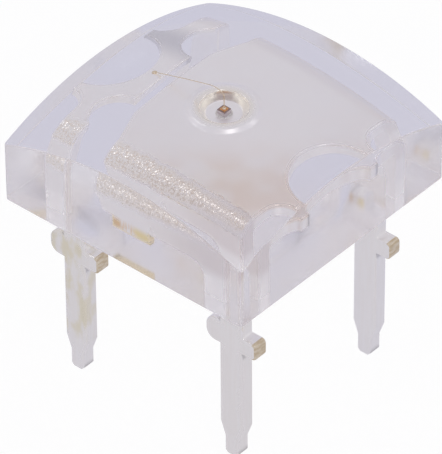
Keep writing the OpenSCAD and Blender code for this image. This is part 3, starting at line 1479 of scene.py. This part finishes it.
@dataclass
class CupHalf(StripHalf):
    """Large half: the plate with the reflector cup, two flanges and two leads."""

    PIECE = "cup_half"
    NODE = "cup_lead_frame"

    end_inset: float = 0.29
    end_inset_len: float = 0.9
    flange_drop: float = 1.0
    flange_lean: float = 0.25
    stub_w: float = 1.2
    stub_len: float = 0.32
    stub_x: float = -0.1
    fillet_r: float = 0.4
    ring_r: float = 0.89
    crest_r: float = 0.77
    ring_rise: float = 0.1
    mouth_r: float = 0.57
    floor_r: float = 0.42
    cup_depth: float = 0.25
    floor_t: float = 0.2
    boss_rim: float = 0.2
    edge_r: float = 0.045

    def outline(self) -> Outline:
        """Draws one side of the half on the flat strip and mirrors it.

        Returns:
            The closed outline.
        """
        strip, size = self.strip, self.sizes
        end_x = self.end_inset - size.gap_x
        low_z = strip.top - self.flange_drop
        low, stub_end = strip.along(low_z), strip.along(low_z - self.stub_len)
        stub_left, stub_right = self.stub_x - self.stub_w / 2, self.stub_x + self.stub_w / 2
        inner = size.lead_x - self.lead.width / 2
        outer = size.lead_x + self.lead.width / 2
        r = self.fillet_r
        path = Outline()
        path.line(-size.gap_x, 0.0)
        path.line(-size.gap_x, strip.bend_y - self.end_inset_len)
        path.line(end_x, strip.bend_y)
        path.line(end_x, strip.along(strip.bend_z))
        path.line(end_x + self.flange_lean, low)
        path.line(stub_left, low, EdgeKind.CUT_BARE)
        path.line(stub_left, stub_end, EdgeKind.CUT_BARE)
        path.line(stub_right, stub_end, EdgeKind.CUT_BARE)
        path.line(stub_right, low)
        path.arc(inner - r, strip.along(low_z - r), r, -90.0, 0.0)
        path.extend(self.lead.drawn(strip, size.lead_x).backwards())
        path.line(outer, strip.along(strip.bend_z))
        path.line(outer, strip.bend_y)
        path.arc(size.prong_x, size.relief_y, size.relief_r, 180.0, 270.0)
        path.arc(size.prong_x, 0.0, size.notch_r, 90.0, 180.0)
        return path.mirrored()

    def coins(self) -> tuple[Coin, ...]:
        """Shapes the raised ring with its cup, and the boss under it.

        Returns:
            Both forms, from the rim inwards.
        """
        r, depth = self.edge_r, self.strip.thickness
        cup = [
            (self.ring_r + 2 * r, 0.0),
            (self.ring_r, 0.0),
            (self.crest_r, self.ring_rise),
            (self.mouth_r, self.ring_rise),
            (self.floor_r, -self.cup_depth),
            (0.0, -self.cup_depth),
        ]
        reach = self.floor_r + self.boss_rim
        low = self.cup_depth + self.floor_t
        boss = [(reach + 2 * r, -depth), (reach, -depth), (reach, -low), (0.0, -low)]
        return Coin(rounded_profile(cup, r)), Coin(rounded_profile(boss, r))


@dataclass
class BondHalf(StripHalf):
    """Small half: a neck beside the gap with an arm to each of its leads."""

    PIECE = "bond_half"
    NODE = "bond_lead_frame"

    window_r: float = 0.68
    window_y: float = 1.64

    def outline(self) -> Outline:
        """Draws one side, from the gap round the window and lead to the notch, and mirrors it.

        Returns:
            The closed outline.
        """
        strip, size = self.strip, self.sizes
        edge = -size.gap_x - size.gap_w
        inner = -size.lead_x + self.lead.width / 2
        outer = -size.lead_x - self.lead.width / 2
        meets = math.degrees(math.acos((inner - edge) / self.window_r))
        path = Outline()
        path.line(edge, 0.0)
        path.arc(edge, self.window_y, self.window_r, 270.0, meets)
        if path.points[-1][1] < strip.bend_y:
            path.line(inner, strip.bend_y)
        path.line(inner, strip.along(strip.bend_z))
        path.extend(self.lead.drawn(strip, -size.lead_x))
        path.line(outer, strip.along(strip.bend_z))
        path.line(outer, strip.bend_y)
        path.arc(-size.prong_x, size.relief_y, size.relief_r, 0.0, -90.0)
        path.arc(-size.prong_x, 0.0, size.notch_r, 90.0, 0.0)
        return path.mirrored()


def parts_of_one(count: int) -> np.ndarray:
    """Gives the ends of equal parts of 0 to 1."""
    return np.linspace(0.0, 1.0, count + 1)[1:]


@dataclass
class LensBody:
    """Clear casting: a square block with rounded upright edges, cut off by a sphere."""

    finish: bpy.types.Material
    width: float = 7.6
    base: float = 2.0
    corner_h: float = 1.65
    dome_rise: float = 1.55
    corner_r: float = 0.12
    rim_r: float = 0.05
    foot_r: float = 0.03
    side_count: int = 56
    corner_count: int = 10
    dome_rings: int = 44
    rim_rings: int = 4
    wall_rings: int = 8
    foot_rings: int = 3
    under_shares: Triple = (0.8, 0.5, 0.2)

    @property
    def dome_r(self) -> float:
        """Radius of the sphere through the four corners and the top."""
        return (self.width**2 / 2 + self.dome_rise**2) / (2 * self.dome_rise)

    @property
    def dome_centre(self) -> float:
        """Height of that sphere's centre."""
        return self.base + self.corner_h + self.dome_rise - self.dome_r

    def plan(self) -> tuple[np.ndarray, np.ndarray]:
        """Draws the square with round corners.

        Returns:
            The points, and the way out at each.
        """
        half = self.width / 2 - self.corner_r
        points, outward = [], []
        for k, (cx, cy) in enumerate(((1, 1), (-1, 1), (-1, -1), (1, -1))):
            turn = np.radians(np.linspace(90.0 * k, 90.0 * (k + 1), self.corner_count + 1))
            away = np.stack([np.cos(turn), np.sin(turn)], axis=1)
            points.append(np.array([cx * half, cy * half]) + self.corner_r * away)
            outward.append(away)
            along = np.linspace(half, -half, self.side_count + 1)[1:-1]
            normal = away[-1]
            tangent = np.array([normal[1], -normal[0]])
            points.append(normal * (self.width / 2) + along[:, None] * tangent)
            outward.append(np.repeat(normal[None, :], len(along), axis=0))
        return np.concatenate(points), np.concatenate(outward)

    def sphere_z(self, xy: np.ndarray) -> np.ndarray:
        """Height of the dome over points."""
        return self.dome_centre + np.sqrt(self.dome_r**2 - np.sum(xy**2, axis=1))

    def rows(self) -> list[tuple[np.ndarray, np.ndarray]]:
        """Lays rows of points from the dome's middle, down the wall and underneath.

        Returns:
            The points and the normals of each row.
        """
        plan, out = self.plan()
        n = len(plan)
        centre = np.array([0.0, 0.0, self.dome_centre])
        edge_z = self.sphere_z(plan)
        slope = np.sum(plan * out, axis=1) / (edge_z - self.dome_centre)
        lean = np.arctan(slope)
        axis_z = edge_z + slope * self.rim_r - self.rim_r / np.cos(lean)
        made = []
        rim = plan - out * (self.rim_r * (1 - np.sin(lean)))[:, None]
        for share in parts_of_one(self.dome_rings):
            xy = rim * share
            points = np.column_stack([xy, self.sphere_z(xy)])
            made.append((points, (points - centre) / self.dome_r))
        for share in parts_of_one(self.rim_rings):
            turn = lean + (math.pi / 2 - lean) * share
            xy = plan - out * (self.rim_r * (1 - np.sin(turn)))[:, None]
            points = np.column_stack([xy, axis_z + self.rim_r * np.cos(turn)])
            made.append((points, np.column_stack([out * np.sin(turn)[:, None], np.cos(turn)])))
        flat = np.column_stack([out, np.zeros(n)])
        foot_z = self.base + self.foot_r
        for share in parts_of_one(self.wall_rings):
            z = axis_z + (foot_z - axis_z) * share
            made.append((np.column_stack([plan, z]), flat))
        for turn in parts_of_one(self.foot_rings) * (math.pi / 2):
            xy = plan - out * (self.foot_r * (1 - math.cos(turn)))
            z = np.full(n, foot_z - self.foot_r * math.sin(turn))
            normal = np.column_stack([out * math.cos(turn), np.full(n, -math.sin(turn))])
            made.append((np.column_stack([xy, z]), normal))
        under = np.tile([0.0, 0.0, -1.0], (n, 1))
        for share in self.under_shares:
            made.append((np.column_stack([plan * share, np.full(n, self.base)]), under))
        return made

    def build(self) -> bpy.types.Object:
        """Makes the casting and hands it to the frame.

        Returns:
            The piece.
        """
        rows = self.rows()
        n = len(rows[0][0])
        top = np.array([[0.0, 0.0, self.dome_centre + self.dome_r]])
        foot = np.array([[0.0, 0.0, self.base]])
        up = np.array([[0.0, 0.0, 1.0]])
        points = np.concatenate([top] + [row[0] for row in rows] + [foot])
        normals = np.concatenate([up] + [row[1] for row in rows] + [-up])
        pairs = [(i, (i + 1) % n) for i in range(n)]
        faces: list[Face] = [(0, 1 + i, 1 + k) for i, k in pairs]
        for row in range(len(rows) - 1):
            a, b = 1 + row * n, 1 + (row + 1) * n
            faces += [(a + i, b + i, b + k, a + k) for i, k in pairs]
        last, end = 1 + (len(rows) - 1) * n, len(points) - 1
        faces += [(last + k, last + i, end) for i, k in pairs]
        piece = mesh_object("clear_lens", points, faces, [self.finish])
        piece.data.normals_split_custom_set_from_vertices(normals.tolist())
        return hand_over(piece, "lens_body")


# A form that is not quite round: its middle, and waves as height, count round it and start
WOBBLE_MIDDLE = 0.5
WOBBLE_WAVES: tuple[Triple, ...] = ((0.3, 3.0, 0.7), (0.2, 5.0, 2.1))


def turned_form(
    profile: list[Point], count: int, wobble: float = 0.0
) -> tuple[np.ndarray, list[Face]]:
    """Turns a profile about the Z axis into a closed form.

    Args:
        profile: radius and height from the lower middle, outwards and up to the upper middle.
        count: how many points each ring has.
        wobble: how far rings depart from round, as a share of their radius.

    Returns:
        The points and the faces.
    """
    angle = np.linspace(0.0, 2 * math.pi, count, endpoint=False)
    waves = sum(high * np.sin(times * angle + start) for high, times, start in WOBBLE_WAVES)
    swing = 1.0 - wobble * (WOBBLE_MIDDLE + waves)
    across, along = np.cos(angle) * swing, np.sin(angle) * swing
    points = [np.array([[0.0, 0.0, profile[0][1]]])]
    for radius, z in profile[1:-1]:
        points.append(np.column_stack([radius * across, radius * along, np.full(count, z)]))
    points.append(np.array([[0.0, 0.0, profile[-1][1]]]))
    rings = len(profile) - 2
    pairs = [(i, (i + 1) % count) for i in range(count)]
    faces: list[Face] = [(0, 1 + k, 1 + i) for i, k in pairs]
    for ring in range(rings - 1):
        a, b = 1 + ring * count, 1 + (ring + 1) * count
        faces += [(a + i, a + k, b + k, b + i) for i, k in pairs]
    last, end = 1 + (rings - 1) * count, 1 + rings * count
    faces += [(last + i, last + k, end) for i, k in pairs]
    return np.concatenate(points), faces


def profile_of(shares: tuple[Point, ...], radius: float, height: float) -> list[Point]:
    """Gives a profile from its points as shares of a radius and a height."""
    return [(across * radius, up * height) for across, up in shares]


@dataclass
class Chip:
    """The chip in the cup, with its contact on top and its adhesive below."""

    floor: float = 3.55
    die_w: float = 0.23
    die_h: float = 0.19
    contact_w: float = 0.15
    contact_t: float = 0.015
    contact_bevel: float = 0.0075
    attach_r: float = 0.2
    attach_t: float = 0.02
    attach_shape: tuple[Point, ...] = (
        (0.0, 0.0), (1.0, 0.0), (0.99, 0.3), (0.95, 0.65), (0.88, 1.0), (0.0, 1.0)
    )
    attach_count: int = 48
    attach_wobble: float = 0.05
    chamfer: float = 0.012
    bevel_parts: int = 2
    bevel_round: float = 0.6

    @property
    def die_foot(self) -> float:
        """Height of the chip's foot."""
        return self.floor + self.attach_t

    @property
    def die_top(self) -> float:
        """Height of the chip's top."""
        return self.die_foot + self.die_h

    def block(
        self, name: str, width: float, heights: Point, bevel: float, finish: bpy.types.Material
    ) -> bpy.types.Object:
        """Makes a square block with bevelled edges.

        Args:
            name: the object's name.
            width: the block's width.
            heights: the heights of its foot and its top.
            bevel: the width of its bevels.
            finish: its material.

        Returns:
            The new object.
        """
        half = width / 2
        ring = [(-half, -half), (half, -half), (half, half), (-half, half)]
        points = np.array([(x, y, z) for z in heights for x, y in ring])
        faces: list[Face] = [(3, 2, 1, 0), (4, 5, 6, 7)]
        faces += [(i, (i + 1) % 4, 4 + (i + 1) % 4, 4 + i) for i in range(4)]
        piece = mesh_object(name, points, faces, [finish])
        work = bmesh.new()
        work.from_mesh(piece.data)
        middle = sum(heights) / 2 * MM
        bmesh.ops.bevel(
            work,
            geom=[e for e in work.edges if max(v.co.z for v in e.verts) > middle],
            offset=bevel * MM,
            segments=self.bevel_parts,
            profile=self.bevel_round,
            affect="EDGES",
        )
        for face in work.faces:
            face.smooth = False
        work.to_mesh(piece.data)
        work.free()
        return piece

    def build(self) -> list[bpy.types.Object]:
        """Makes the adhesive, the chip and the contact.

        Returns:
            The three pieces.
        """
        foot, top = self.die_foot, self.die_top
        crystal = ChipCrystal().material(top)
        die = self.block("chip_die", self.die_w, (foot, top), self.chamfer, crystal)
        contact = self.block(
            "chip_contact",
            self.contact_w,
            (top, top + self.contact_t),
            self.contact_bevel,
            CONTACT_GOLD.material(),
        )
        profile = profile_of(self.attach_shape, self.attach_r, self.attach_t)
        points, faces = turned_form(profile, self.attach_count, self.attach_wobble)
        points[:, 2] += self.floor
        attach = mesh_object("chip_adhesive", points, faces, [SILVER_PASTE.material()])
        return [
            hand_over(attach, "die_attach"),
            hand_over(die, "led_die"),
            hand_over(contact, "die_contact"),
        ]


@dataclass
class BondWire:
    """Gold wire from the contact to the small half.

    It has a ball, a neck, a loop, a sloping run and a second bond.
    """

    start_z: float = 3.775
    end_z: float = 3.8
    bond_x: float = 2.09
    radius: float = 0.0125
    step: float = 0.02
    loop_r: float = 0.3
    loop_points: int = 24
    slope_deg: float = 27.0
    ball_r: float = 0.05
    ball_h: float = 0.035
    ball_shape: tuple[Point, ...] = (
        (0.0, 0.0), (0.8, 0.0), (0.95, 0.15), (1.0, 0.4), (0.93, 0.7), (0.7, 0.95)
    )
    neck_shape: tuple[Point, ...] = ((1.27, 1.05), (1.27, 2.2), (1.0, 4.0), (0.0, 4.0))
    stitch_r: float = 0.065
    stitch_h: float = 0.035
    stitch_shape: tuple[Point, ...] = (
        (0.0, 0.0), (1.0, 0.0), (1.0, 0.25), (0.8, 0.6), (0.45, 0.9), (0.0, 1.0)
    )
    ring_count: int = 24

    def path(self) -> np.ndarray:
        """Draws the wire's middle line, from inside the ball to inside the second bond.

        Returns:
            The points, one row each.
        """
        slope, r = math.radians(self.slope_deg), self.loop_r
        run = (self.bond_x - r * (1 + math.sin(slope))) / math.cos(slope)
        end_z = self.end_z + self.stitch_h / 2
        loop_z = end_z + run * math.sin(slope) - r * math.cos(slope)
        points = [(0.0, self.start_z + self.ball_h / 2), (0.0, loop_z - r / 2)]
        for turn in np.linspace(0.0, math.pi / 2 + slope, self.loop_points):
            points.append((-r * (1 - math.cos(turn)), loop_z + r * math.sin(turn)))
        points.append((-self.bond_x, end_z))
        return np.array([(x, 0.0, z) for x, z in points])

    def build(self) -> bpy.types.Object:
        """Makes the wire with its ball and second bond, and hands it to the frame.

        Returns:
            The piece.
        """
        finish = WIRE_GOLD.material()
        line = self.path()
        mesh = bpy.data.meshes.new("gold_wire")
        mesh.from_pydata((line * MM).tolist(), [(i, i + 1) for i in range(len(line) - 1)], [])
        piece = linked("gold_wire", mesh)
        DrawnWire().bake(
            piece,
            {"Wire radius": self.radius * MM, "Step": self.step * MM, "Finish": finish},
        )
        ball = profile_of(self.ball_shape, self.ball_r, self.ball_h)
        ball += profile_of(self.neck_shape, self.radius, self.ball_h)
        stitch = profile_of(self.stitch_shape, self.stitch_r, self.stitch_h)
        work = bmesh.new()
        work.from_mesh(piece.data)
        for profile, x, z in ((ball, 0.0, self.start_z), (stitch, -self.bond_x, self.end_z)):
            points, faces = turned_form(profile, self.ring_count)
            made = [work.verts.new(Vector((p[0] + x, p[1], p[2] + z)) * MM) for p in points]
            for face in faces:
                work.faces.new([made[i] for i in face]).smooth = True
        bmesh.ops.recalc_face_normals(work, faces=work.faces)
        work.to_mesh(piece.data)
        work.free()
        return hand_over(piece, "bond_wire")


def direction(azimuth_deg: float, elevation_deg: float) -> Vector:
    """Gives the way out from the part at an azimuth, from -Y towards +X, and an elevation."""
    a, e = math.radians(azimuth_deg), math.radians(elevation_deg)
    return Vector((math.sin(a) * math.cos(e), -math.cos(a) * math.cos(e), math.sin(e)))


@dataclass(frozen=True)
class Lamp:
    """A square soft lamp.

    Fields: its name, where it hangs round the part, from -Y towards +X, how high, how far away,
    how wide it is, and its power in watts.
    """

    name: str
    azimuth_deg: float
    elevation_deg: float
    distance: float
    width: float
    power: float

    def hang(self) -> None:
        """Makes the lamp, looking at the part and unseen by the camera."""
        light = bpy.data.lights.new(self.name, "AREA")
        light.shape = "SQUARE"
        light.size = self.width * MM
        light.energy = self.power
        lamp = linked(self.name, light)
        lamp.visible_camera = False
        away = direction(self.azimuth_deg, self.elevation_deg)
        lamp.location = away * (self.distance * MM)
        lamp.rotation_mode = "QUATERNION"
        lamp.rotation_quaternion = (-away).to_track_quat("-Z", "Y")


@dataclass
class Studio:
    """Pale floor, soft lights and the camera.

    The floor is nearly white to the camera. The part mirrors it and shows it in pale bands, each
    with the place where it starts and is full, counted towards the camera, and its colour.
    """

    floor_z: float = -3.4
    floor_width: float = 900.0
    paper: Colour = (0.90, 0.90, 0.91)
    paper_fleck: Colour = (0.93, 0.93, 0.935)
    fleck_mm: float = 6.0
    paper_roughness: float = 0.9
    paper_gloss: float = 0.1
    azimuth_deg: float = 41.1
    elevation_deg: float = 38.45
    roll_deg: float = -0.45
    distance: float = 130.0
    pixels_per_mm: float = 40.95
    frame_px: Point = (442.0, 454.0)
    aim_px: Point = (-4.0, 39.3)
    aim_z: float = 2.0
    clip: Point = (5.0, 5000.0)
    world_level: Colour = (0.64, 0.62, 0.665)
    world_white: Colour = (1.0, 1.0, 1.0)
    far_level: Colour = (0.585, 0.575, 0.68)
    nearer_bands: tuple[tuple[Point, Colour], ...] = (
        ((-20.0, -12.0), (0.605, 0.6, 0.705)),
        ((-3.0, 2.0), (0.64, 0.62, 0.66)),
        ((6.0, 12.0), (0.67, 0.655, 0.72)),
    )
    white_level: Colour = (1.03, 1.03, 1.03)
    white_share: float = 0.9
    pale_share: float = 0.9
    bounces: int = 32
    lamps: tuple[Lamp, ...] = (
        Lamp("left", -47.0, 44.0, 240.0, 18.0, 0.005),
        Lamp("right", 125.0, 38.0, 240.0, 24.0, 0.004),
        Lamp("key", 60.0, 50.0, 230.0, 50.0, 0.012),
    )

    def floor_glow(self, sheet: NodeSheet) -> Socket:
        """Builds the floor's colour as the part mirrors it, from far behind to the front.

        Args:
            sheet: the floor's material.

        Returns:
            The colour.
        """
        feeds = {0: sheet.coords, 1: direction(self.azimuth_deg, 0.0)}
        towards = sheet.add("ShaderNodeVectorMath", feeds, operation="DOT_PRODUCT")
        colour = self.far_level
        for limits, level in self.nearer_bands:
            share = sheet.ramp_mm(towards.outputs["Value"], limits)
            colour = sheet.blend(share, colour, level)
        return colour

    def build_floor(self) -> bpy.types.Object:
        """Makes the floor, which the camera sees nearly white and which keeps a soft shadow.

        Returns:
            The floor.
        """
        half = self.floor_width / 2
        ring = [(-half, -half), (half, -half), (half, half), (-half, half)]
        points = np.array([(x, y, self.floor_z) for x, y in ring])
        sheet = NodeSheet("studio_floor")
        paper = sheet.principled(
            Base_Color=sheet.blend(sheet.noise(self.fleck_mm), self.paper, self.paper_fleck),
            Roughness=self.paper_roughness,
            Specular_IOR_Level=self.paper_gloss,
        )
        ray = sheet.add("ShaderNodeLightPath").outputs
        camera = ray["Is Camera Ray"]
        mirrored = sheet.larger(ray["Is Glossy Ray"], ray["Is Transmission Ray"])
        seen = sheet.blend(camera, self.floor_glow(sheet), self.white_level)
        glow = sheet.add("ShaderNodeEmission", {"Color": seen})
        share = sheet.larger(
            sheet.span(camera, 0.0, self.white_share), sheet.span(mirrored, 0.0, self.pale_share)
        )
        sheet.surface(sheet.mixed(share, paper, glow))
        sheet.material.cycles.emission_sampling = "NONE"
        floor = mesh_object("floor", points, [(0, 1, 2, 3)], [sheet.material])
        return floor

    def build_world(self) -> None:
        """Makes the surround: white to the camera, pale to everything else."""
        world = bpy.data.worlds.new("studio")
        world.use_nodes = True
        bpy.context.scene.world = world
        sheet = NodeTree(world.node_tree)
        pale = sheet.add("ShaderNodeBackground", {"Color": self.world_level})
        white = sheet.add("ShaderNodeBackground", {"Color": self.world_white})
        camera = sheet.add("ShaderNodeLightPath").outputs["Is Camera Ray"]
        sheet.add("ShaderNodeOutputWorld", {"Surface": sheet.mixed(camera, pale, white)})

    def build_camera(self) -> None:
        """Sets the camera at the photo's angle and framing."""
        data = bpy.data.cameras.new("camera")
        camera = linked("camera", data)
        away = direction(self.azimuth_deg, self.elevation_deg)
        a = math.radians(self.azimuth_deg)
        right = Vector((math.cos(a), math.sin(a), 0.0))
        up = away.cross(right)
        foot = Vector((0.0, 0.0, self.aim_z))
        eye = foot + away * self.distance
        aim = foot + (right * self.aim_px[0] - up * self.aim_px[1]) / self.pixels_per_mm
        reach = self.pixels_per_mm * self.distance
        data.lens = reach * data.sensor_width / max(self.frame_px)
        data.clip_start, data.clip_end = (limit * MM for limit in self.clip)
        camera.location = eye * MM
        camera.rotation_mode = "QUATERNION"
        roll = Quaternion((0.0, 0.0, 1.0), math.radians(self.roll_deg))
        camera.rotation_quaternion = (aim - eye).to_track_quat("-Z", "Y") @ roll
        bpy.context.scene.camera = camera

    def build(self) -> None:
        """Makes the whole studio."""
        scene = bpy.context.scene
        scene.view_settings.view_transform = "Standard"
        scene.cycles.blur_glossy = 0.0
        scene.cycles.max_bounces = self.bounces
        scene.cycles.glossy_bounces = self.bounces
        scene.cycles.transmission_bounces = self.bounces
        self.build_floor()
        self.build_world()
        for lamp in self.lamps:
            lamp.hang()
        self.build_camera()


def main() -> None:
    """Builds the part from its sub-assemblies, in order, and the studio round it."""
    logging.basicConfig(level=logging.INFO, format="%(name)s: %(message)s")
    strip = Strip()
    finishes = [PlatedStrip().material(), CoarseBend().material(), BareMetal().material()]
    tool = CoarseGrain()
    pieces = [CupHalf(strip, finishes).build(tool), BondHalf(strip, finishes).build(tool)]
    pieces += Chip().build()
    pieces.append(BondWire().build())
    pieces.append(LensBody(ClearEpoxy().material()).build())
    for piece in pieces:
        LOG.info("%s: %d faces", piece.name, len(piece.data.polygons))
    Studio().build()


if __name__ == "__main__":
    main()
